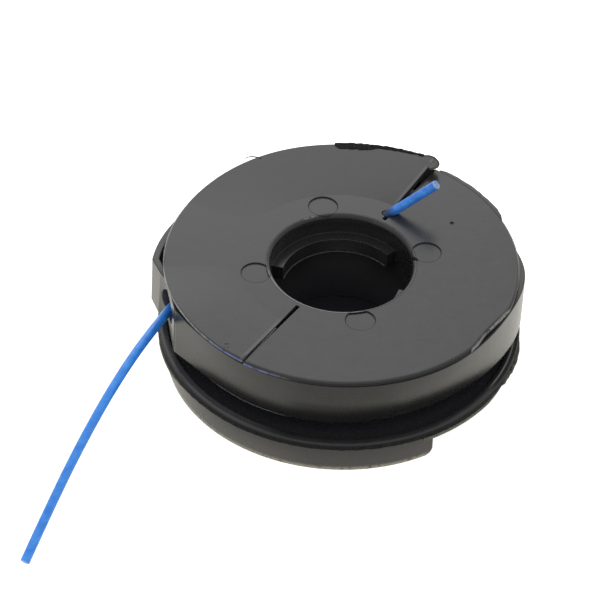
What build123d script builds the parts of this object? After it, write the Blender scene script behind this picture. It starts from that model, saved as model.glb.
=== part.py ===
from build123d import *
from math import cos, pi, radians, sin, tan
import os

# Line: round nylon filament
line_diameter = 1.5
line_clearance = 0.1

# Spool body: overall height and the flat upper flange
spool_height = 18.8
upper_flange_radius = 28.1
upper_flange_thickness = 1.0
upper_rim_chamfer = 0.3
upper_rim_edge = 0.45
upper_rim_undercut = 0.7

# Hub tube and the drive lugs inside its bore
bore_radius = 11.2
hub_wall = 2.0
bore_mouth_chamfer = 0.75
lug_reach = 1.8
lug_depth = 3.4
lug_thickness = 2.5
lug_span = 128.0
lug_azimuth = 104.0

# Web that closes the lower end of the bore but for a shaft hole
web_thickness = 1.6
shaft_hole_radius = 5.0

# Lower flange: a dished plate with a raised bead along its rim
lower_flange_radius = 28.85
winding_floor_height = 5.7
lower_flange_thickness = 1.4
rim_underside_height = 5.85
rim_edge_thickness = 0.65
bead_inset = 1.15
bead_width = 0.5
bead_height = 1.05
bead_slope = 0.6

# Skirt under the lower flange, in two arcs with rounded lower corners
rim_overhang = 1.35
skirt_wall = 1.5
skirt_gap = 50.0
skirt_gap_azimuth = 329.2
skirt_corner_rounding = 1.4

# Slits that split the upper flange
slit_azimuth = 59.0
slit_inner_width = 0.65
slit_outer_width = 0.2
slit_root_gap = 1.3
slit_overrun = 1.0

# Corners beside the slits that are bent up, as turn from the slit and rise of the rim
lip_root_radius = 17.2
lip_inset = 0.01
lip_overlap = 1.0
first_lip = [(0, 1.8), (16, 1.2), (33, 0.9), (53, 0.8), (69, 0.55), (83, 0.2), (94, 0.0)]
second_lip = [(0, 0.3), (-7, 0.4), (-19, 0.6), (-33, 0.6), (-45, 0.25), (-55, 0.0)]

# Flat on the upper rim, where the gate was trimmed off
gate_flat_points = [(28.2, 341.5), (27.28, 327.4), (28.3, 316.0)]

# Shallow ejector-pin marks round the mouth of the bore
pin_mark_count = 4
pin_mark_radius = 2.35
pin_mark_depth = 0.2
pin_mark_circle = 13.75
pin_mark_azimuth = 14.0

# Keeper band: a strip bent round the winding, its ends butted at a crease beside the line's way out.
# Stations give azimuth, and the band's distance from the winding at its top and at its bottom. The
# lower edge tilts down towards the front.
band_height = 8.35
band_thickness = 1.05
band_top_clearance = 0.15
band_tilt = 1.7
band_front = [
    (204.4, 2.7, 2.8),
    (216.0, 1.95, 1.35),
    (240.0, 1.95, 0.7),
    (275.0, 2.05, 0.4),
    (310.0, 2.28, 0.5),
    (340.0, 2.55, 2.3),
    (362.0, 3.55, 3.42),
]
band_back_slack = 1.95
band_back_turns = (382.0, 423.0, 465.0, 506.0)
band_left = [(527.0, 3.55, 3.55), (539.8, 4.4, 4.52)]
band_flat = [(546.0, 3.1, 3.39), (550.2, 2.25, 2.0)]
band_middle_share = 0.35
band_butt_gap = 0.22
way_out_width = 6.2
way_out_height = 4.4
way_out_depth = 4.0
way_out_offset = 5.3

# Wound line: full-width inner layers from the lower flange up, then shorter outer layers. Some turns'
# height is left free under the upper flange, where the start of the line crosses.
turns_left_free = 1
turns_outer = 4
layers_outer = 2
pack_radius = 24.4
pack_clearance = 0.06
turn_depth = 0.3

# Start of the line, which stands up out of the first slit
start_root_radius = 14.4
start_length = 9.2
start_lean = 40.5
start_azimuth = 3.0

# Free end of the line: points along its plan direction and above the base
tail_exit = (-27.05, -7.15)
tail_azimuth = 246.9
tail_points = [(-2.4, 12.75), (6.5, 13.6), (17.0, 12.85), (27.5, 10.25), (38.0, 6.0), (47.9, 0.68)]
tail_bend_share = 0.45

# Derived heights and radii
hub_radius = bore_radius + hub_wall
bead_radius = lower_flange_radius - bead_inset
skirt_radius = lower_flange_radius - rim_overhang
flange_underside = spool_height - upper_flange_thickness
bead_top = winding_floor_height + bead_height
rim_top = rim_underside_height + rim_edge_thickness
line_radius = line_diameter / 2
half_turn = 180.0


def polar(radius, azimuth):
    """Plan point at a radius and an azimuth in degrees."""
    return Vector(radius * cos(radians(azimuth)), radius * sin(radians(azimuth)))


def radial_plane(azimuth):
    """Upright plane through the axis, with its x outwards and its y up."""
    return Plane(origin=(0, 0, 0), x_dir=polar(1, azimuth), z_dir=polar(1, azimuth - 90))


def wedge(start, span, inner_radius):
    """Sector outside a radius, past the widest rim, in the sketch that is open."""
    reach = 2 * lower_flange_radius
    Polygon((0, 0), *[polar(reach, start + span * share) for share in (0, 0.5, 1)], align=None)
    Circle(inner_radius, mode=Mode.SUBTRACT)


# Start of the line: where its centre line crosses the flange's top, and which way it points
start_root = polar(start_root_radius, slit_azimuth) + Vector(0, 0, spool_height)
start_way = polar(cos(radians(start_lean)), start_azimuth) + Vector(0, 0, sin(radians(start_lean)))
start_sunk = upper_flange_thickness / sin(radians(start_lean)) + line_diameter
start_plane = Plane(origin=start_root - start_way * start_sunk, z_dir=start_way)

# Spool body: one moulding
with BuildPart() as spool:
    with BuildSketch(Plane.XZ) as section:
        with BuildLine():
            Polyline(
                (shaft_hole_radius, 0),
                (hub_radius, 0),
                (hub_radius, winding_floor_height - lower_flange_thickness),
                (skirt_radius - skirt_wall, winding_floor_height - lower_flange_thickness),
                (skirt_radius - skirt_wall, 0),
                (skirt_radius, 0),
                (skirt_radius, rim_underside_height),
                (lower_flange_radius, rim_underside_height),
                (lower_flange_radius, rim_top),
                (bead_radius + bead_width / 2, bead_top),
                (bead_radius - bead_width / 2, bead_top),
                (bead_radius - bead_width / 2 - bead_slope, winding_floor_height),
                (hub_radius, winding_floor_height),
                (hub_radius, flange_underside),
                (upper_flange_radius - upper_rim_undercut, flange_underside),
                (upper_flange_radius, spool_height - upper_rim_edge),
                (upper_flange_radius, spool_height),
                (bore_radius, spool_height),
                (bore_radius, web_thickness),
                (shaft_hole_radius, web_thickness),
                close=True,
            )
        make_face()
        corners = section.vertices()
        chamfer(corners.sort_by_distance((bore_radius, spool_height))[0], bore_mouth_chamfer)
        chamfer(corners.sort_by_distance((upper_flange_radius, spool_height))[0], upper_rim_chamfer)
    revolve(axis=Axis.Z)

    # The gate was trimmed off the upper rim with two cuts
    with BuildSketch(Plane.XY.offset(flange_underside)):
        gate_cut = [polar(*point) for point in gate_flat_points]
        Polygon(*gate_cut, gate_cut[1] * 1.5, align=None)
    extrude(amount=upper_flange_thickness, mode=Mode.SUBTRACT)

    # Two gaps open the skirt below the flange's rim
    with BuildSketch():
        for turn in (0, half_turn):
            wedge(skirt_gap_azimuth - skirt_gap / 2 + turn, skirt_gap, skirt_radius - skirt_wall)
    extrude(amount=winding_floor_height - lower_flange_thickness, mode=Mode.SUBTRACT)
    skirt_ends = spool.edges().filter_by(GeomType.LINE).group_by(Axis.Z)[0]
    fillet(skirt_ends, skirt_corner_rounding)

    # Drive lugs stand in from the wall of the bore
    for turn in (0, half_turn):
        with BuildSketch(radial_plane(lug_azimuth - lug_span / 2 + turn)):
            with Locations((bore_radius - lug_reach, spool_height - lug_depth)):
                Rectangle(lug_reach + hub_wall / 2, lug_thickness, align=(Align.MIN, Align.MAX))
        revolve(axis=Axis.Z, revolution_arc=lug_span)

    # The bent corners of the upper flange take the place of flat sectors
    for slit, lip in ((slit_azimuth, first_lip), (slit_azimuth + half_turn, second_lip)):
        span = (lip[-2][0] + lip[-1][0]) / 2
        with BuildSketch(Plane.XY.offset(flange_underside)):
            wedge(slit + min(span, 0), abs(span), lip_root_radius)
        extrude(amount=upper_flange_thickness, mode=Mode.SUBTRACT)
        for turn, rise in lip:
            low = flange_underside + lip_inset
            high = spool_height - lip_inset
            edge = upper_flange_radius - lip_inset
            with BuildSketch(radial_plane(slit + turn)):
                with BuildLine():
                    Polyline(
                        (lip_root_radius - lip_overlap, low),
                        (edge - upper_rim_undercut, low + rise),
                        (edge, high + rise - upper_rim_edge),
                        (edge - upper_rim_chamfer / 2, high + rise),
                        (lip_root_radius - lip_overlap, high),
                        close=True,
                    )
                make_face()
        loft()

    # Slits run from the hub to the rim, narrower at the rim
    slit_root_radius = bore_radius + slit_root_gap
    for turn in (0, half_turn):
        with BuildSketch(Plane.XY.offset(flange_underside).rotated((0, 0, slit_azimuth + turn))):
            Polygon(
                (slit_root_radius, -slit_inner_width / 2),
                (upper_flange_radius + slit_overrun, -slit_outer_width / 2),
                (upper_flange_radius + slit_overrun, slit_outer_width / 2),
                (slit_root_radius, slit_inner_width / 2),
                align=None,
            )
        extrude(amount=upper_flange_thickness + 2 * first_lip[0][1], mode=Mode.SUBTRACT)

    # The start of the line comes up through a slanting hole at the first slit's inner end
    with BuildSketch(start_plane):
        Circle(line_radius + line_clearance)
    extrude(amount=start_sunk + start_length, mode=Mode.SUBTRACT)

    # Ejector-pin marks
    with BuildSketch(Plane.XY.offset(spool_height)):
        with PolarLocations(pin_mark_circle, pin_mark_count, start_angle=pin_mark_azimuth):
            Circle(pin_mark_radius)
    extrude(amount=-pin_mark_depth, mode=Mode.SUBTRACT)

# Keeper band: outlines at three heights, outside and inside
band_top = flange_underside - band_top_clearance
band_bottom = band_top - band_height
band_back = [(turn, band_back_slack, band_back_slack) for turn in band_back_turns]
band_round = [*band_front, *band_back, *band_left]
band_stations = [*band_round, *band_flat]


def band_points(share, inset):
    """Plan points of the band between its top and its bottom, set in square to the outline."""
    band_reach = pack_radius + band_thickness
    outer = [polar(band_reach + top + (bottom - top) * share, turn) for turn, top, bottom in band_stations]
    points = []
    for before, point, after in zip(outer[-1:] + outer[:-1], outer, outer[1:] + outer[:1]):
        into = (point - before).normalized().rotate(Axis.Z, 90)
        out_of = (after - point).normalized().rotate(Axis.Z, 90)
        points.append(point + (into + out_of) * (inset / (1 + into.dot(out_of))))
    return points


band_levels = [
    (band_bottom, 1.0, band_tilt),
    (band_bottom + band_height / 2, band_middle_share, band_tilt / 2),
    (band_top, 0.0, 0.0),
]
with BuildPart() as line_band:
    for inset, mode in ((0, Mode.ADD), (band_thickness, Mode.SUBTRACT)):
        for height, share, tilt in band_levels:
            points = band_points(share, inset)
            with BuildSketch(Plane.XY.offset(height).rotated((tilt, 0, 0))):
                with BuildLine():
                    Spline(*points[:len(band_round)])
                    Polyline(*points[len(band_round) - 1:], points[0])
                make_face()
        loft(mode=mode)

    # The strip's ends butt at the crease
    crease_point = band_points(0, 0)[0]
    flat_end = band_points(0, 0)[-1]
    flat_way = (crease_point - flat_end).normalized()
    flat_normal = flat_way.rotate(Axis.Z, -90)
    with BuildSketch(Plane(origin=crease_point, x_dir=flat_way)):
        Rectangle(band_butt_gap, 4 * band_thickness)
    extrude(amount=spool_height, mode=Mode.SUBTRACT)

    # The line leaves by an oblong hole across the bend
    way_out = crease_point - flat_way * way_out_offset + Vector(0, 0, band_top - way_out_depth)
    with BuildSketch(Plane(origin=way_out, x_dir=flat_way, z_dir=flat_normal)):
        SlotOverall(way_out_width, way_out_height)
    extrude(amount=2 * band_thickness, both=True, mode=Mode.SUBTRACT)

# Wound line: one solid with the turns showing as ridges
pack_floor = winding_floor_height + pack_clearance
turns_full = int((flange_underside - pack_floor) / line_diameter) - turns_left_free
pack_ceiling = pack_floor + turns_full * line_diameter
inner_pack_radius = pack_radius - layers_outer * line_diameter
with BuildPart() as wound_line:
    with BuildSketch(Plane.XZ):
        outline = [(hub_radius + pack_clearance, pack_ceiling), (hub_radius + pack_clearance, pack_floor)]
        for index in range(turns_full):
            crest = inner_pack_radius if index < turns_full - turns_outer else pack_radius
            low = pack_floor + line_diameter * index
            outline.append((crest - turn_depth, low))
            outline.append((crest, low + line_radius))
        outline.append((pack_radius - turn_depth, pack_ceiling))
        Polygon(*outline, align=None)
    revolve(axis=Axis.Z)

# Start of the line: a straight stub, cut level under the flange
with BuildPart() as line_start:
    with BuildSketch(start_plane):
        Circle(line_radius)
    extrude(amount=start_sunk + start_length)
    split(bisect_by=Plane.XY.offset(flange_underside), keep=Keep.TOP)

# Free end of the line: straight runs joined by tangent arcs
tail_route = []
for along, height in tail_points:
    tail_route.append(Vector(*tail_exit) + polar(along, tail_azimuth) + Vector(0, 0, height))
tail_radii = []
for before, corner, after in zip(tail_route, tail_route[1:], tail_route[2:]):
    turn = (corner - before).get_angle(after - corner)
    shorter = min((corner - before).length, (after - corner).length)
    tail_radii.append(tail_bend_share * shorter / tan(radians(turn / 2)))
with BuildPart() as line_tail:
    with BuildLine() as tail_path:
        FilletPolyline(*tail_route, radius=tail_radii)
    with BuildSketch(Plane(origin=tail_path.line @ 0, z_dir=tail_path.line % 0)):
        Circle(line_radius)
    sweep()

os.makedirs("parts", exist_ok=True)
pieces = {
    "spool": spool,
    "line_band": line_band,
    "wound_line": wound_line,
    "line_start": line_start,
    "line_tail": line_tail,
}
for label, piece in pieces.items():
    piece.part.label = label
    export_step(piece.part, f"parts/{label}.step")

tail_length = tail_path.wires()[0].length
print("tail bend radii", [round(radius, 1) for radius in tail_radii])
print("tail length", round(tail_length, 2))
print("tail volume", round(line_tail.part.volume, 2))
print("section by length", round(pi * line_radius**2 * tail_length, 2))
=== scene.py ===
import bpy
import numpy as np
from mathutils import Matrix, Vector


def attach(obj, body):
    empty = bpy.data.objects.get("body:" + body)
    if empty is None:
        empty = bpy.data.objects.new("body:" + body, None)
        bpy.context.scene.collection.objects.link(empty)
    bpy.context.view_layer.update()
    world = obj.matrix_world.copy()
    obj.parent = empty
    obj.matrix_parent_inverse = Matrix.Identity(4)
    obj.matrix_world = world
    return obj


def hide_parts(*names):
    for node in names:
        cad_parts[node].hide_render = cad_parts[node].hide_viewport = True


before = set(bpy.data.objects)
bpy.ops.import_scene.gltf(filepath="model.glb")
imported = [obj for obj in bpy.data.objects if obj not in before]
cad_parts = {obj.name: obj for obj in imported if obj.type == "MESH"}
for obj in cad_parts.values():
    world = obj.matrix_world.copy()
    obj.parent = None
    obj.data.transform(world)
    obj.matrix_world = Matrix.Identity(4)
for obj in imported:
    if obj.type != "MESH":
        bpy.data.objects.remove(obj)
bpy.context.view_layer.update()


# The spool is one black moulding: hub, two flanges and a skirt. The plastic is dyed through, with a
# satin skin from the tool, and it is rubbed pale along the lower edge that it stands on.
class Shade:
    """A socket among a finish's nodes: sums and products add Math nodes, and add() makes any other."""

    def __init__(self, tree, socket):
        self.tree = tree
        self.socket = socket

    def add(self, kind, settings, sockets, outlet=0):
        """A node of that kind: its settings are made first, then its sockets get values or shades."""
        node = self.tree.nodes.new("ShaderNode" + kind)
        for name, setting in settings.items():
            setattr(node, name, setting)
        for name, value in sockets.items():
            if isinstance(value, Shade):
                self.tree.links.new(value.socket, node.inputs[name])
            else:
                node.inputs[name].default_value = value
        return Shade(self.tree, node.outputs[outlet])

    def sum_node(self, operation, first, second):
        """A Math node on two values or shades."""
        return self.add("Math", {"operation": operation}, {0: first, 1: second})

    def __add__(self, other):
        return self.sum_node("ADD", self, other)

    __radd__ = __add__

    def __sub__(self, other):
        return self.sum_node("SUBTRACT", self, other)

    def __rsub__(self, other):
        return self.sum_node("SUBTRACT", other, self)

    def __mul__(self, other):
        return self.sum_node("MULTIPLY", self, other)

    __rmul__ = __mul__

    def __truediv__(self, other):
        return self.sum_node("DIVIDE", self, other)

    def __pow__(self, other):
        return self.sum_node("POWER", self, other)

    def step(self, low, high):
        """0 before low and 1 after high, with a soft passage between them."""
        limits = {"Value": self, "From Min": low, "From Max": high}
        return self.add("MapRange", {"interpolation_type": "SMOOTHSTEP"}, limits)

    def blend(self, first, second):
        """The first colour where this shade is 0, and the second where it is 1."""
        return self.add("Mix", {"data_type": "RGBA"}, {0: self, 6: first, 7: second}, 2)

    def noise(self, scale, detail, stretch=(1, 1, 1)):
        """Soft noise from 0 to 1 on this shade as a place, with that many waves in a metre."""
        place = self.add("Mapping", {}, {"Vector": self, "Scale": stretch})
        return self.add("TexNoise", {}, {"Vector": place, "Scale": scale, "Detail": detail})

    def about_axis(self, degrees):
        """This shade as a place, turned about the upright axis."""
        turn = {"Vector": self, "Angle": np.radians(degrees)}
        return self.add("VectorRotate", {"rotation_type": "Z_AXIS"}, turn)

    def within(self, low, high, soft):
        """1 from low to high, fading to 0 over a soft margin outside them."""
        return self.step(low - soft, low) * (1 - self.step(high, high + soft))

    def into(self, shader, socket):
        """Links this shade to a shader's socket."""
        self.tree.links.new(self.socket, shader.inputs[socket])


def new_finish(name):
    """A material, its shader, and its Object coordinates as a shade."""
    material = bpy.data.materials.new(name)
    material.use_nodes = True
    tree = material.node_tree
    shader = tree.nodes["Principled BSDF"]
    place = Shade(tree, tree.nodes.new("ShaderNodeTexCoord").outputs["Object"])
    return material, shader, place


def parts_of(place):
    """x, y and height of a place, and its distance from the spool's axis."""
    x, y, z = (place.add("SeparateXYZ", {}, {0: place}, part) for part in range(3))
    return x, y, z, (x * x + y * y) ** 0.5


def towards(x, y, radius, azimuth):
    """Cosine of the angle between a place's azimuth and that one, in degrees."""
    return (x * np.cos(np.radians(azimuth)) + y * np.sin(np.radians(azimuth))) / radius


def rounded(place, rounding):
    """The surface's direction, as if its edges were rounded over that radius."""
    return place.add("Bevel", {"samples": 8}, {"Radius": rounding})


def grained(place, shader, grain_scale, grain_depth, wave_scale, wave_depth, facing):
    """Fine grain over slow waves, as heights in metres, on a surface that faces that way."""
    height = place.noise(grain_scale, 2) * grain_depth + place.noise(wave_scale, 1) * wave_depth
    bump = place.add("Bump", {}, {"Height": height, "Distance": 1.0, "Normal": facing})
    bump.into(shader, "Normal")


def black_plastic(name, dark, light, smooth, rough):
    """Dyed black plastic between two greys and two roughnesses, mottled and scuffed by noise."""
    material, shader, place = new_finish(name)
    mottle = place.noise(420, 3).step(0.3, 0.7)
    colour = mottle.blend(dark, light)
    scuff = place.noise(500, 3, (1, 9, 1)).step(0.62, 0.72)
    scuff = scuff + place.noise(430, 3, (8, 1.5, 1)).step(0.64, 0.74)
    roughness = smooth + (rough - smooth) * place.noise(900, 4) + 0.06 * scuff
    roughness.into(shader, "Roughness")
    shader.inputs["IOR"].default_value = 1.5
    return material, shader, place, colour


def dulled(material, shader, mask, dull_grey):
    """Torn plastic, or painted shade, of a dull grey which hardly shines, laid over a finish by a mask."""
    tree = material.node_tree
    dull = tree.nodes.new("ShaderNodeBsdfPrincipled")
    dull_grey.into(dull, "Base Color")
    dull.inputs["Roughness"].default_value = 0.8
    dull.inputs["Specular IOR Level"].default_value = 0.12
    clear = Shade(tree, shader.outputs["BSDF"])
    laid = clear.add("MixShader", {}, {0: mask, 1: clear, 2: Shade(tree, dull.outputs["BSDF"])})
    laid.into(tree.nodes["Material Output"], "Surface")


# Radii, heights and turns of the moulding, in metres and degrees, which the painted light and wear below are
# measured from.
face = 0.0188
upper_edge = 0.0281
lower_edge = 0.02885
bead = 0.0277
bead_top = 0.00675
dish_floor = 0.0057
skirt = 0.0275
bore = 0.0112
lug_edge = 0.0094
lug_foot = 0.0129
slit_turn = 59
left_turn = 215

spool_dark = (0.0165, 0.0165, 0.0172, 1)
spool_light = (0.0210, 0.0210, 0.0218, 1)
spool_plastic, shader, place, colour = black_plastic("spool_satin", spool_dark, spool_light, 0.24, 0.29)
x, y, height, radius = parts_of(place)

# The upper flange is painted a lighter grey towards its back and left, as painted light.
top_light_grey = (0.031, 0.031, 0.032, 1)
top_light = height.step(face - 0.0005, face - 0.0003) * (0.85 * y - 0.5 * x).step(-0.010, 0.026)
colour = top_light.blend(colour, top_light_grey)

# The dish of the lower flange is painted a lighter grey, as painted light, and the skirt is painted greyer
# towards its foot and at its left, as a painted reflection of the bench. A painted highlight lies on the bead
# at the left, and at the right a painted highlight line runs along it. The edge that it stands on is pale.
dish_light_grey = (0.030, 0.030, 0.032, 1)
skirt_reflection_grey = (0.10, 0.096, 0.086, 1)
highlight_grey = (0.11, 0.11, 0.11, 1)
bead_highlight_grey = (0.14, 0.14, 0.135, 1)
foot_cream = (0.42, 0.385, 0.30, 1)
dish = radius.within(bead - 0.0052, bead - 0.0006, 0.0003)
dish = dish * height.within(dish_floor - 0.0002, dish_floor + 0.0003, 0.0001)
colour = dish.blend(colour, dish_light_grey)
skirt_reflection = radius.step(skirt - 0.0013, skirt - 0.0007) * (1 - height.step(0.0002, 0.0050))
skirt_reflection = skirt_reflection * (0.45 + 0.55 * towards(x, y, radius, left_turn).step(0.60, 0.90))
colour = skirt_reflection.blend(colour, skirt_reflection_grey)
on_bead = height.within(bead_top - 0.00055, bead_top + 0.00075, 0.0002)
bead_highlight = radius.within(bead - 0.0002, bead + 0.0008, 0.0002) * on_bead
bead_highlight = bead_highlight * towards(x, y, radius, left_turn).step(0.75, 0.95)
colour = (0.5 * bead_highlight).blend(colour, highlight_grey)
right_edge = towards(x, y, radius, 345).step(0.950, 0.980)
bead_highlight_line = radius.within(bead + 0.00025, bead + 0.00042, 0.00008) * on_bead * right_edge
colour = bead_highlight_line.blend(colour, bead_highlight_grey)
foot_rub = (1 - height.step(0.0001, 0.0009)) * radius.step(skirt - 0.0020, skirt - 0.0013)
foot_rub = foot_rub * place.noise(1400, 3).step(0.2, 0.55)
colour = foot_rub.blend(colour, foot_cream)

# Painted highlights lie along the left side of the upper rim, tinted blue near the second slit by painted
# light from the line within, and on the front of the bore's mouth and on the flange beside the slit.
rim_highlight_grey = (0.20, 0.205, 0.235, 1)
rim_blue_light = (0.12, 0.155, 0.37, 1)
mouth_highlight_grey = (0.19, 0.19, 0.19, 1)
rim_highlight = radius.step(upper_edge - 0.00015, upper_edge - 0.00007) * height.step(face - 0.0006, face - 0.0005)
rim_highlight = rim_highlight * towards(x, y, radius, 212).step(0.62, 0.80) * place.noise(1500, 3).step(0.25, 0.6)
blue_lit = towards(x, y, radius, slit_turn + 180).step(0.965, 0.99)
colour = rim_highlight.blend(colour, blue_lit.blend(rim_highlight_grey, rim_blue_light))
mouth_highlight = radius.within(bore + 0.0002, bore + 0.00058, 0.0001) * height.step(face - 0.0005, face - 0.0003)
mouth_highlight = mouth_highlight * towards(x, y, radius, 240).step(0.50, 0.85)
colour = mouth_highlight.blend(colour, mouth_highlight_grey)
slit_root = 0.0125
slit_root_half = 0.000325
slit_taper = 0.0137
along_slit = place.about_axis(-slit_turn)
slit_side = along_slit.add("SeparateXYZ", {}, {0: along_slit}, 1)
slit_away = slit_side - (slit_root_half - slit_taper * (radius - slit_root))
beside_slit = height.step(face - 0.0003, face - 0.0001)
slit_highlight = slit_away.within(0.00008, 0.0004, 0.0003) * radius.step(0.0150, 0.0185) * beside_slit
(0.45 * slit_highlight).blend(colour, highlight_grey).into(shader, "Base Color")

# The lower rim and the front of the upper one are rounded more broadly than the other edges.
fine_edge = 0.00015
broad_edge = 0.0008
broad_low = radius.step(bead - 0.0002, bead + 0.0001)
broad_low = broad_low * height.within(dish_floor - 0.0002, dish_floor + 0.0018, 0.0001)
broad_front = radius.step(upper_edge - 0.0015, upper_edge - 0.0011)
broad_front = broad_front * height.step(face - 0.0008, face - 0.0005)
broad_front = broad_front * towards(x, y, radius, 285).step(0.5, 0.8)
facings = {0: broad_low + broad_front, 4: rounded(place, fine_edge), 5: rounded(place, broad_edge)}
grained(place, shader, 3500, 0.8e-6, 350, 1.5e-5, place.add("Mix", {"data_type": "VECTOR"}, facings, 1))

# The outer edge of the lower flange is torn and dull, and painted shade marks a fine groove inside it.
# Painted shade darkens the bore below its lugs, the lugs' faces and the back lug's end, and the back of its
# mouth.
torn_edge = radius.step(lower_edge - 0.00007, lower_edge - 0.00001) * height.within(0.0050, 0.00645, 0.0001)
groove_shade = radius.within(bead + 0.0003, bead + 0.00046, 0.00008) * (1 - right_edge)
groove_shade = groove_shade + radius.within(bead + 0.0005, bead + 0.0009, 0.0001) * right_edge
groove_shade = groove_shade * height.within(bead_top - 0.00075, bead_top + 0.00015, 0.0001)
well_shade = 1 - radius.step(bore + 0.00005, bore + 0.0002)
well_shade = well_shade * (1 - height.step(lug_foot - 0.0003, lug_foot + 0.0001))
lug_face_shade = 1 - radius.step(lug_edge + 0.00005, lug_edge + 0.0002)
lug_face_shade = lug_face_shade * height.within(lug_foot, lug_foot + 0.0022, 0.0002)
lug_end_shade = towards(x, y, radius, 43).step(0.985, 0.995) * (1 - radius.step(bore - 0.0001, bore + 0.0001))
lug_end_shade = lug_end_shade * height.within(lug_foot - 0.0001, lug_foot + 0.0027, 0.0003)
mouth_shade = (1 - radius.step(bore, bore + 0.0007)) * height.step(face - 0.0011, face - 0.0007)
mouth_shade = mouth_shade * towards(x, y, radius, 90).step(0.0, 0.6)
mouth_shade = mouth_shade * (1 - 0.7 * towards(x, y, radius, 57).step(0.980, 0.995))

# Painted shade rings the four ejector-pin marks in fine dark lines, and a few dark specks lie on the upper
# flange.
pin_circle = 0.01375
pin_radius = 0.00235
pin_turn = 14
dot_x, dot_y = 0.01729, 0.01064
specks_x, specks_y = -0.0170, -0.0210
turned = place.about_axis(-pin_turn)
pin_x, pin_y = (turned.add("SeparateXYZ", {}, {0: turned}, part) for part in range(2))
pin_x = pin_x.add("Math", {"operation": "ABSOLUTE"}, {0: pin_x})
pin_y = pin_y.add("Math", {"operation": "ABSOLUTE"}, {0: pin_y})
pin_far = pin_x.add("Math", {"operation": "MAXIMUM"}, {0: pin_x, 1: pin_y}) - pin_circle
pin_near = pin_x.add("Math", {"operation": "MINIMUM"}, {0: pin_x, 1: pin_y})
pin_away = (pin_far * pin_far + pin_near * pin_near) ** 0.5
pin_edge_shade = pin_away.within(pin_radius - 0.00005, pin_radius + 0.00005, 0.00008)
pin_edge_shade = pin_edge_shade * height.step(face - 0.0004, face - 0.0003)
dot_away = ((x - dot_x) ** 2 + (y - dot_y) ** 2) ** 0.5
specks_away = ((x - specks_x) ** 2 + (y - specks_y) ** 2) ** 0.5
specks = (1 - specks_away.step(0.0006, 0.0011)) * place.noise(2600, 2).step(0.60, 0.66)
marks = (1 - dot_away.step(0.00028, 0.00044) + specks) * height.step(face - 0.0004, face - 0.0002)

# Painted shade darkens the side of the raised lip along the first slit, and the back and the front of the
# upper rim. Deep in the bore the dull plastic is greyer.
lip_side_shade = slit_away.within(-0.0005, 0.00002, 0.00003) * radius.step(0.0160, 0.0170)
lip_side_shade = lip_side_shade * beside_slit * towards(x, y, radius, slit_turn).step(0.5, 0.8)
back_rim_shade = radius.step(upper_edge - 0.0002, upper_edge - 0.0001) * height.step(face - 0.0005, face - 0.0004)
back_rim_shade = back_rim_shade * towards(x, y, radius, 122).step(0.75, 0.88)
front_rim_shade = radius.step(upper_edge - 0.00022, upper_edge - 0.00014)
front_rim_shade = front_rim_shade * height.within(face - 0.0016, face - 0.00018, 0.00008)
front_rim_shade = front_rim_shade * towards(x, y, radius, 290).step(0.72, 0.85)
shaded = 0.9 * well_shade + 0.6 * lug_face_shade + 0.5 * mouth_shade + 0.7 * back_rim_shade + 0.8 * front_rim_shade + 0.8 * lug_end_shade
dull_share = torn_edge + (0.6 + 0.3 * right_edge) * groove_shade + shaded + 0.9 * lip_side_shade + 0.6 * pin_edge_shade + marks
well_depth = (1 - radius.step(bore - 0.0002, bore + 0.0002)) * (1 - height.step(0.0040, 0.0120))
well_grey = height.step(0.0016, 0.0019).blend((0.032, 0.033, 0.038, 1), (0.085, 0.087, 0.100, 1))
spool_dull = well_depth.blend((0.021, 0.021, 0.0222, 1), well_grey)
dulled(spool_plastic, shader, dull_share, spool_dull)
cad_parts["spool"].data.materials[0] = spool_plastic


# Thin flash was left on the moulding where the halves of its tool met, and the gate was trimmed off
# roughly. These edges are torn: some are dark, and others have gone pale.
def torn_finish(name, dark, light):
    """Torn plastic, rough, between two greys."""
    material, shader, place = new_finish(name)
    place.noise(2400, 4).step(0.3, 0.7).blend(dark, light).into(shader, "Base Color")
    (0.5 + 0.3 * place.noise(3000, 2)).into(shader, "Roughness")
    shader.inputs["Specular IOR Level"].default_value = 0.1
    return material


def round_points(radius, azimuth, height):
    """Points in metres: x and y are a radius times the azimuth's cosine and sine, from mm and degrees."""
    turn = np.radians(azimuth)
    return np.stack(np.broadcast_arrays(radius * np.cos(turn), radius * np.sin(turn), height), axis=-1) / 1000


def ragged(turns, spacing, low, high, seed):
    """Uneven values along azimuths: seeded knots that many degrees apart, joined by straight runs."""
    knots = np.arange(turns.min(), turns.max() + spacing, spacing)
    return np.interp(turns, knots, np.random.default_rng(seed).uniform(low, high, len(knots)))


def solid_strip(name, rails, finish):
    """A closed strip through rows of points: row joins row and the last the first, with both ends filled."""
    rails = np.asarray(rails)
    index = np.arange(rails.shape[0] * rails.shape[1]).reshape(rails.shape[:2])
    beside = np.roll(index, -1, axis=0)
    sides = np.stack([index[:, :-1], index[:, 1:], beside[:, 1:], beside[:, :-1]], axis=-1).reshape(-1, 4)
    mesh = bpy.data.meshes.new(name)
    ends = [index[:, 0].tolist(), index[::-1, -1].tolist()]
    mesh.from_pydata(rails.reshape(-1, 3).tolist(), [], sides.tolist() + ends)
    mesh.materials.append(finish)
    piece = bpy.data.objects.new(name, mesh)
    bpy.context.scene.collection.objects.link(piece)
    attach(piece, "root")


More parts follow.
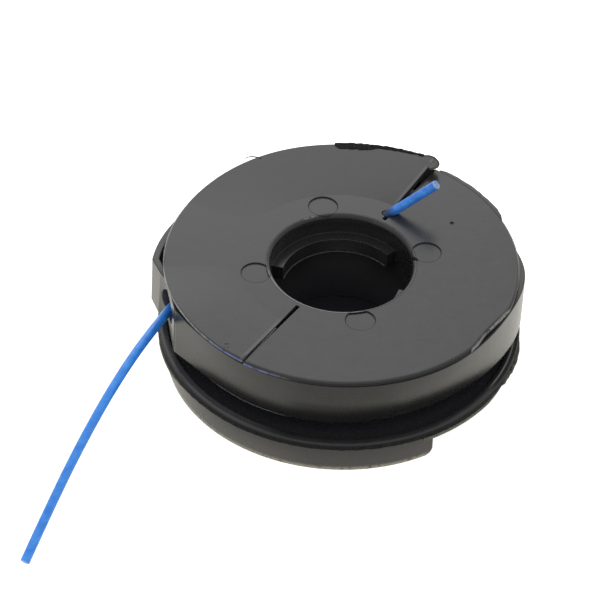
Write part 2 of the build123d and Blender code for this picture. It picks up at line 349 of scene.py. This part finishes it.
flash_dark = torn_finish("flash_dark", (0.005, 0.005, 0.005, 1), (0.017, 0.017, 0.0165, 1))
flash_pale = torn_finish("flash_pale", (0.12, 0.12, 0.118, 1), (0.30, 0.30, 0.295, 1))
flash_grey = torn_finish("flash_grey", (0.04, 0.04, 0.041, 1), (0.09, 0.09, 0.092, 1))
flash_olive = torn_finish("flash_olive", (0.095, 0.095, 0.087, 1), (0.135, 0.135, 0.124, 1))
flash_fleck = torn_finish("flash_fleck", (0.035, 0.035, 0.035, 1), (0.20, 0.20, 0.20, 1))
flash_rough = torn_finish("flash_rough", (0.006, 0.006, 0.006, 1), (0.075, 0.074, 0.066, 1))
flash_cream = torn_finish("flash_cream", (0.10, 0.098, 0.076, 1), (0.19, 0.185, 0.145, 1))
face_height = 1000 * face
lip_root = 16.2
lip_run = 11.74

# A flap of flash lies on the raised back of the upper rim, and thins out to the right.
flap_turns = np.linspace(63.5, 94, 110)
flap_rise = np.interp(flap_turns, [59, 75, 92, 112], [1.8, 1.2, 0.9, 0.8])
flap_knots = [63.5, 70, 79, 83, 92, 93, 94]
flap_inner = np.interp(flap_turns, flap_knots, [27.8, 27.7, 27.55, 26.95, 26.85, 27.0, 27.6])
flap_inner += ragged(flap_turns, 1.1, -0.12, 0.12, 3)
flap_outer = 28.12 + ragged(flap_turns, 0.8, 0.0, 0.16, 4)
flap_low = face_height + flap_rise * (flap_inner - lip_root) / lip_run
flap_top = face_height + flap_rise + ragged(flap_turns, 0.9, 0.05, 0.16, 5)
flap_rails = [
    round_points(flap_inner, flap_turns, flap_low - 0.2),
    round_points(flap_outer, flap_turns, flap_top - 0.45),
    round_points(flap_outer, flap_turns, flap_top),
    round_points(flap_inner, flap_turns, flap_low + 0.05),
]
solid_strip("back_flash", flap_rails, flash_dark)

# A thin fringe widens the right back of the upper rim and breaks off short of the band's bulge.
fringe_root = 27.85
fringe_turns = np.linspace(25, 57, 90)
fringe_edge = np.interp(fringe_turns, [25, 27.5, 31, 45, 55, 57], [27.95, 28.40, 28.56, 28.56, 28.5, 28.2])
fringe_edge += ragged(fringe_turns, 1.4, -0.05, 0.05, 6)
fringe_rails = [
    round_points(fringe_root, fringe_turns, 18.45),
    round_points(fringe_edge, fringe_turns, 18.58),
    round_points(fringe_edge, fringe_turns, 18.74),
    round_points(fringe_root, fringe_turns, 18.79),
]
solid_strip("right_flash", fringe_rails, spool_plastic)

# A tongue of flash hangs from the raised corner over the first slit.
tongue_far = np.array([
    (27.9, 28.2, 28.46, 28.46, 28.08, 27.68, 27.1),
    (65.0, 63.2, 62.0, 60.1, 58.1, 57.0, 56.7),
])
tongue_near = np.array([
    (27.5, 27.0, 26.5, 26.1, 26.05, 26.3, 26.7),
    (64.5, 62.6, 61.0, 60.0, 58.6, 57.6, 57.0),
])
tongue_rise = np.interp(tongue_far[1], [56, 59, 75], [1.82, 1.8, 1.2]) / lip_run
tongue_far_top = face_height + tongue_rise * (tongue_far[0] - lip_root)
tongue_near_top = face_height + tongue_rise * (tongue_near[0] - lip_root)
tongue_rails = [
    round_points(*tongue_near, tongue_near_top - 0.4),
    round_points(*tongue_far, tongue_far_top - 0.4),
    round_points(*tongue_far, tongue_far_top - 0.05),
    round_points(*tongue_near, tongue_near_top + 0.03),
]
solid_strip("corner_flash", tongue_rails[::-1], flash_olive)
tongue_edge_rails = [
    round_points(tongue_far[0] - 0.12, tongue_far[1], tongue_far_top - 0.42),
    round_points(tongue_far[0] + 0.06, tongue_far[1], tongue_far_top - 0.42),
    round_points(tongue_far[0] + 0.06, tongue_far[1], tongue_far_top - 0.02),
    round_points(tongue_far[0] - 0.12, tongue_far[1], tongue_far_top + 0.03),
]
solid_strip("corner_edge", tongue_edge_rails[::-1], flash_dark)

# A thin wall of flash stands in the first slit near the rim.
wall_right = slit_turn - 0.05
wall_left = slit_turn + 0.25
wall_foot = 17.9
wall_reach = np.linspace(23.5, 27.7, 30)
wall_top = np.interp(wall_reach, [23.5, 24.6, 25.5, 27.6], [19.25, 19.50, 19.95, 20.20])
wall_top += ragged(wall_reach, 0.35, -0.10, 0.06, 15)
wall_rails = [
    round_points(wall_reach, wall_right, wall_foot),
    round_points(wall_reach, wall_left, wall_foot),
    round_points(wall_reach, wall_left, wall_top),
    round_points(wall_reach, wall_right, wall_top),
]
solid_strip("slit_wall", wall_rails[::-1], flash_dark)

# Flash closes the outer part of the second slit to a hairline, which steps aside half-way along.
web_reach = np.linspace(18.6, 27.85, 60)
web_half = 0.325 - 0.225 * (web_reach - 12.5) / 16.44
web_gap = np.interp(web_reach, [18.6, 20.5, 22.2, 22.6, 27.85], [0.22, 0.10, 0.09, 0.10, 0.12])
web_step = 22.4
web_low = web_half - np.where(web_reach < web_step, 0, web_gap)
web_high = web_half - np.where(web_reach < web_step, web_gap, 0)
web_low_turn = slit_turn + 180 - np.degrees(web_low / web_reach)
web_high_turn = slit_turn + 180 + np.degrees(web_high / web_reach)
web_foot = 18.0
web_top = 18.74
web_rails = [
    round_points(web_reach, web_low_turn, web_foot),
    round_points(web_reach, web_high_turn, web_foot),
    round_points(web_reach, web_high_turn, web_top),
    round_points(web_reach, web_low_turn, web_top),
]
solid_strip("slit_web", web_rails[::-1], spool_plastic)

# A hair of plastic curls off the left back of the rim.
hair_reach = np.array([27.38, 27.91, 28.38, 28.69, 28.75, 28.56])
hair_turns = np.array([120.1, 120.7, 121.7, 122.8, 123.8, 125.2])
hair_thick = np.array([0.16, 0.14, 0.12, 0.11, 0.09, 0.05])
hair_height = 19.42
hair_rails = [
    round_points(hair_reach, hair_turns, hair_height - hair_thick),
    round_points(hair_reach - hair_thick, hair_turns, hair_height),
    round_points(hair_reach, hair_turns, hair_height + hair_thick),
    round_points(hair_reach + hair_thick, hair_turns, hair_height),
]
solid_strip("hair_flash", hair_rails[::-1], flash_dark)

# The torn edge of the lower flange runs round the front. It is thickest at the left, and at the right
# it ends in a rough crust. Below it, the edge's lower lip is rubbed pale where the skirt leaves it free.
edge_turns = np.linspace(184, 336, 460)
edge_reach = 28.85 + ragged(edge_turns, 1.3, 0.01, 0.07, 7)
edge_rough = np.interp(edge_turns, [184, 205, 225, 336], [1.0, 1.0, 0.45, 0.3])
edge_low = np.interp(edge_turns, [184, 205, 225, 296, 303, 336], [5.34, 5.34, 5.52, 5.54, 5.42, 5.42])
edge_rails = [
    round_points(28.5, edge_turns, 5.85),
    round_points(edge_reach, edge_turns, edge_low + edge_rough * ragged(edge_turns, 0.9, -0.14, 0.14, 8)),
    round_points(edge_reach, edge_turns, 6.04 + edge_rough * ragged(edge_turns, 0.9, -0.12, 0.12, 9)),
    round_points(28.8, edge_turns, 6.30),
]
solid_strip("edge_flash", edge_rails, flash_dark)
crust_turns = np.linspace(335, 358, 160)
crust_knots = [335, 338, 346, 352, 356, 358]
crust_reach = np.interp(crust_turns, crust_knots, [28.88, 29.10, 29.22, 29.20, 29.00, 28.87])
crust_reach += ragged(crust_turns, 1.3, -0.14, 0.03, 19)
crust_rails = [
    round_points(28.4, crust_turns, 5.6),
    round_points(crust_reach, crust_turns, 5.10 + ragged(crust_turns, 0.9, -0.16, 0.16, 16)),
    round_points(crust_reach + ragged(crust_turns, 0.9, -0.10, 0.0, 17), crust_turns, 5.95),
    round_points(28.62, crust_turns, 6.58 + ragged(crust_turns, 0.9, -0.10, 0.14, 18)),
]
solid_strip("edge_crust", crust_rails, flash_rough)


def edge_lip(name, turns, reach):
    """A strip under the lower flange's edge, along azimuths, out to the radii given for them."""
    lip_inner = 28.2
    lip_rails = [
        round_points(lip_inner, turns, 5.05),
        round_points(reach, turns, 4.86),
        round_points(reach, turns, 5.46),
        round_points(lip_inner, turns, 5.52),
    ]
    solid_strip(name, lip_rails, flash_cream)


left_turns = np.linspace(188, 212, 60)
edge_lip("edge_lip_1", left_turns, np.interp(left_turns, [188, 191, 206, 212], [28.6, 28.92, 28.98, 28.7]))
right_turns = np.linspace(299, 336, 80)
edge_lip("edge_lip_2", right_turns, np.interp(right_turns, [299, 326, 336], [28.97, 28.94, 28.65]))


# Pale burrs stand along the two cuts that trimmed the gate.
def gate_burr(name, first, last, seed):
    """A ragged bead along a straight cut in the upper rim, between two points given as radius and azimuth."""
    share = np.linspace(0, 1, 40)[:, None]
    cut = round_points(first[0], first[1], face_height) * (1 - share)
    cut = 1000 * (cut + round_points(last[0], last[1], face_height) * share)
    cut_radius = np.hypot(cut[:, 0], cut[:, 1])
    cut_turn = np.degrees(np.arctan2(cut[:, 1], cut[:, 0]))
    width = ragged(cut_turn, 0.9, 0.07, 0.20, seed)
    burr_rails = [
        round_points(cut_radius - width, cut_turn, face_height - 0.3),
        round_points(cut_radius + 0.05, cut_turn, face_height - 0.42),
        round_points(cut_radius + 0.06, cut_turn, face_height - 0.03),
        round_points(cut_radius - width, cut_turn, face_height + 0.02),
    ]
    solid_strip(name, burr_rails, flash_pale)


gate_burr("gate_burr_1", (27.36, 329.0), (28.1, 340.5), 10)
gate_burr("gate_burr_2", (28.15, 317.0), (27.32, 326.6), 11)

# The mouth of the bore is rounded over, from its chamfer's upper edge down to the lower one.
round_turns = np.linspace(0, 360, 241)
round_over = np.radians(np.linspace(0, 90, 15))
rounding = 0.75
round_middle = 11.95
round_foot = 18.05
round_rails = [
    round_points(round_middle - rounding * np.sin(tilt), round_turns, round_foot + rounding * np.cos(tilt))
    for tilt in round_over
]
solid_strip("mouth_round", round_rails, spool_plastic)

# Flakes of flash cling to the mouth of the bore, and a fin runs along the back lug's lower edge.
flake_turns = np.linspace(111, 124, 50)
flake_inner = 11.50 + ragged(flake_turns, 0.9, -0.10, 0.16, 12)
flake_outer = 11.92
flake_rails = [
    round_points(flake_inner, flake_turns, 18.40),
    round_points(flake_outer, flake_turns, 18.60),
    round_points(flake_outer, flake_turns, 18.84),
    round_points(flake_inner, flake_turns, 18.76),
]
solid_strip("mouth_flash", flake_rails, flash_fleck)
spur_turns = np.array([5.8, 7.5, 9.2, 10.6])
spur_inner = np.array([12.05, 11.45, 11.10, 10.95])
spur_outer = np.array([12.15, 12.00, 11.75, 11.10])
spur_rails = [
    round_points(spur_inner, spur_turns, 18.55),
    round_points(spur_outer, spur_turns, 18.60),
    round_points(spur_outer, spur_turns, 18.92),
    round_points(spur_inner, spur_turns, 18.86),
]
solid_strip("mouth_spur", spur_rails, flash_dark)
lug_turns = np.linspace(42, 166, 130)
fin_root = 9.5
fin_edge = 9.24 - ragged(lug_turns, 2.0, 0.0, 0.08, 13)
lug_rails = [
    round_points(fin_root, lug_turns, 12.86),
    round_points(fin_edge, lug_turns, 12.92),
    round_points(fin_root, lug_turns, 13.02),
]
solid_strip("lug_flash", lug_rails[::-1], flash_grey)


# The keeper band is a strip of the same plastic, bent round the winding and sprung into place. It is
# painted lighter at its sides as a painted reflection, painted shade darkens its front, and a painted
# highlight lies along its lower edge at the front left.
band_dark = (0.0125, 0.0125, 0.0120, 1)
band_light = (0.0165, 0.0163, 0.0155, 1)
band_plastic, shader, place, colour = black_plastic("band_satin", band_dark, band_light, 0.24, 0.28)
x, y, height, radius = parts_of(place)
band_sheen_grey = (0.050, 0.049, 0.046, 1)
band_highlight_pale = (0.22, 0.22, 0.215, 1)
band_tilt = np.radians(1.7)
band_side_sheen = (x * x / (radius * radius)).step(0.70, 0.98)
colour = band_side_sheen.blend(colour, band_sheen_grey)
band_foot = height - y * np.tan(band_tilt)
band_edge_highlight = band_foot.within(0.0091, 0.00944, 0.00008)
band_edge_highlight = band_edge_highlight * towards(x, y, radius, 238).step(0.955, 0.98)
band_edge_highlight.blend(colour, band_highlight_pale).into(shader, "Base Color")
shader.inputs["IOR"].default_value = 1.45
grained(place, shader, 3500, 0.6e-6, 250, 1.5e-5, rounded(place, 0.0004))
# Painted shade darkens the band's front, most towards its foot.
band_front = towards(x, y, radius, 273).step(0.930, 0.985)
band_shade = (0.17 + 0.36 * (1 - height.step(0.0121, 0.0139))) * band_front
band_shade_grey = band_front.blend((0.0125, 0.0125, 0.0130, 1), (0.0080, 0.0080, 0.0085, 1))
dulled(band_plastic, shader, band_shade, band_shade_grey)
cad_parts["line_band"].data.materials[0] = band_plastic


# The cutting line is round blue nylon, drawn smooth and wound on the hub. Its start stands up out of
# a slit in the upper flange, and was snipped off there, which left a ragged pale tip.
def nylon_finish(name, deep_blue, pale_blue):
    """Blue nylon with faint streaks and a clear skin."""
    material, shader, place = new_finish(name)
    colour = place.noise(500, 3, (1, 1, 3)).step(0.3, 0.7).blend(deep_blue, pale_blue)
    colour.into(shader, "Base Color")
    (0.22 + 0.16 * place.noise(1800, 3)).into(shader, "Roughness")
    shader.inputs["IOR"].default_value = 1.53
    grained(place, shader, 3500, 2e-6, 900, 8e-6, rounded(place, 0.00005))
    return material, shader, place, colour


# The wound turns are painted a far darker blue than the free line, as painted shade under the flange.
wound_shaded_deep = (0.006, 0.026, 0.10, 1)
wound_shaded_pale = (0.010, 0.045, 0.17, 1)
wound_nylon_shaded = nylon_finish("wound_blue_shaded", wound_shaded_deep, wound_shaded_pale)[0]
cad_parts["wound_line"].data.materials[0] = wound_nylon_shaded

start_root = np.array([7.4165, 12.3433, 18.8])
start_way = np.array([0.7594, 0.0398, 0.6494])
start_length = 9.2
start_deep = (0.026, 0.188, 0.68, 1)
start_pale = (0.055, 0.295, 0.95, 1)
start_shade = (0.004, 0.026, 0.11, 1)
tip_white = (0.42, 0.52, 0.66, 1)
start_nylon, shader, place, colour = nylon_finish("start_blue", start_deep, start_pale)
along = place.add("VectorMath", {"operation": "DOT_PRODUCT"}, {0: place, 1: start_way}, 1)
along = along - float(start_root @ start_way) / 1000
from_root = place.add("VectorMath", {"operation": "SUBTRACT"}, {0: place, 1: start_root / 1000})
across_line = from_root.add("VectorMath", {"operation": "CROSS_PRODUCT"}, {0: from_root, 1: start_way})
off_axis = across_line.add("VectorMath", {"operation": "LENGTH"}, {0: across_line}, 1)
snipped = along.step(0.0090, 0.0093) * (0.25 + 0.75 * off_axis.step(0.00045, 0.00062))
snipped = snipped * place.noise(2500, 3).step(0.25, 0.5)
# The start is painted darker near its root, as painted shade where it leaves the slit.
colour = along.step(-0.0002, 0.0018).blend(start_shade, colour)
snipped.blend(colour, tip_white).into(shader, "Base Color")
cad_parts["line_start"].data.materials[0] = start_nylon

# The tip's crown: rings about the line's axis, each with a size, a lift and a share of an uneven rise. The
# rise is low on the tip's upper side, where the box of the solids ends.
tip_turns = np.linspace(0, 2 * np.pi, 36, endpoint=False)
tip_side = np.array([-0.0523, 0.9986, 0.0])
tip_rise = np.cross(start_way, tip_side)
tip_round = np.cos(tip_turns)[:, None] * tip_side + np.sin(tip_turns)[:, None] * tip_rise
tip_room = 0.85 * (1 - np.sign(tip_rise[2]) * np.sin(tip_turns)) + 0.01
tip_out = np.minimum(ragged(tip_turns, 0.42, 0.06, 0.42, 14), tip_room)
tip_centre = start_root + start_length * start_way
crown = [(0.70, -0.15, 0), (0.745, 0, 0), (0.72, 0, 1), (0.50, 0, 0.35), (0.12, 0, 0.15)]
tip_rails = np.stack(
    [
        tip_centre + size * tip_round + (lift + share * tip_out)[:, None] * start_way
        for size, lift, share in crown
    ],
    axis=1,
)
solid_strip("start_tip", tip_rails[::-1] / 1000, start_nylon)


# The free end of the line is the same nylon, drawn out through the band. It keeps the curl of the
# winding, and its cut end lies on the bench.
line_diameter = 0.0015
tail_points = [
    (-0.026108, -0.004942, 0.01275),
    (-0.029600, -0.013129, 0.01360),
    (-0.033720, -0.022787, 0.01285),
    (-0.037839, -0.032445, 0.01025),
    (-0.041959, -0.042103, 0.00600),
    (-0.045843, -0.051209, 0.00076),
]
tail_curve = bpy.data.curves.new("line_tail_drawn", "CURVE")
tail_curve.dimensions = "3D"
tail_curve.bevel_depth = line_diameter / 2
tail_curve.bevel_resolution = 6
tail_curve.use_fill_caps = True
tail_curve.resolution_u = 16
tail_spline = tail_curve.splines.new("NURBS")
tail_spline.points.add(len(tail_points) - 1)
tail_spline.points.foreach_set("co", np.c_[tail_points, np.ones(len(tail_points))].ravel())
tail_spline.order_u = 3
tail_spline.use_endpoint_u = True
tail_deep = (0.030, 0.235, 0.84, 1)
tail_pale = (0.058, 0.335, 0.98, 1)
tail_nylon = nylon_finish("line_blue", tail_deep, tail_pale)[0]
tail_curve.materials.append(tail_nylon)
tail = bpy.data.objects.new("line_tail_drawn", tail_curve)
bpy.context.scene.collection.objects.link(tail)
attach(tail, "root")
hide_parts("line_tail")


# The bench is a plain white sheet under soft light from all sides, with a large softbox above and behind
# the spool. Seen directly it glows an even white; to rays mirrored in the plastic's gloss it glows a darker,
# warmer grey, dimmest in front of the spool, as a painted reflection.
bench_half = 3.0
bench_mesh = bpy.data.meshes.new("bench")
bench_corners = np.array([(-1, -1), (1, -1), (1, 1), (-1, 1)]) * bench_half
bench_mesh.from_pydata(np.c_[bench_corners, np.full(4, -2e-5)].tolist(), [], [(0, 1, 2, 3)])
bench = bpy.data.objects.new("bench", bench_mesh)
bpy.context.scene.collection.objects.link(bench)
bench_white, shader, place = new_finish("bench_white")
shader.inputs["Base Color"].default_value = (0.88, 0.88, 0.88, 1)
shader.inputs["Roughness"].default_value = 0.9
shader.inputs["Emission Strength"].default_value = 1.0
seen = place.add("LightPath", {}, {}, "Is Camera Ray")
mirrored = place.add("LightPath", {}, {}, "Is Glossy Ray")
mirrored = mirrored + place.add("LightPath", {}, {}, "Is Transmission Ray")
glow_front = (0.50, 0.475, 0.39, 1)
glow_under = (0.70, 0.67, 0.56, 1)
glow_seen = (0.82, 0.82, 0.82, 1)
forward = parts_of(place)[1].step(-0.045, -0.015)
glow = mirrored.blend((0, 0, 0, 1), forward.blend(glow_front, glow_under))
seen.blend(glow, glow_seen).into(shader, "Emission Color")
bench_mesh.materials.append(bench_white)

world = bpy.data.worlds.new("studio")
bpy.context.scene.world = world
world.use_nodes = True
world.node_tree.nodes["Background"].inputs["Color"].default_value = (1, 1, 1, 1)
world.node_tree.nodes["Background"].inputs["Strength"].default_value = 0.8

softbox_place = Vector((-0.055, 0.285, 0.215))
softbox_lamp = bpy.data.lights.new("softbox", "AREA")
softbox_lamp.shape = "DISK"
softbox_lamp.size = 0.28
softbox_lamp.energy = 0.232
softbox = bpy.data.objects.new("softbox", softbox_lamp)
softbox.location = softbox_place
softbox.rotation_euler = softbox_place.to_track_quat("Z", "Y").to_euler()
bpy.context.scene.collection.objects.link(softbox)

# The camera stands in front of the spool and looks down on it, turned a little about its own axis.
camera_height_angle = np.radians(41.4)
camera_roll = np.radians(2.53)
camera_distance = 0.650
face_centre = np.array([0, 0, face])
face_pixel = np.array([341.5, 262.3])
pixels_per_metre = 6350.0
image_pixels = 600
toward = np.array([0, -np.cos(camera_height_angle), np.sin(camera_height_angle)])
steep = np.array([0, np.sin(camera_height_angle), np.cos(camera_height_angle)])
across = np.array([1.0, 0, 0])
right = np.cos(camera_roll) * across + np.sin(camera_roll) * steep
upward = np.cos(camera_roll) * steep - np.sin(camera_roll) * across
from_middle = (face_pixel - image_pixels / 2) / pixels_per_metre
aim = face_centre - from_middle[0] * right + from_middle[1] * upward
stand = face_centre + camera_distance * toward
back = (stand - aim) / np.linalg.norm(stand - aim)
side = np.cross(upward, back)
side /= np.linalg.norm(side)
turn = np.column_stack([side, np.cross(back, side), back])
lens_data = bpy.data.cameras.new("camera")
lens_data.sensor_width = 36
lens_data.lens = 36 * pixels_per_metre * camera_distance / image_pixels
lens_data.clip_start = 0.01
camera = bpy.data.objects.new("camera", lens_data)
camera.matrix_world = Matrix.Translation(stand) @ Matrix(turn.tolist()).to_4x4()
bpy.context.scene.collection.objects.link(camera)
bpy.context.scene.camera = camera
bpy.context.scene.view_settings.view_transform = "Standard"
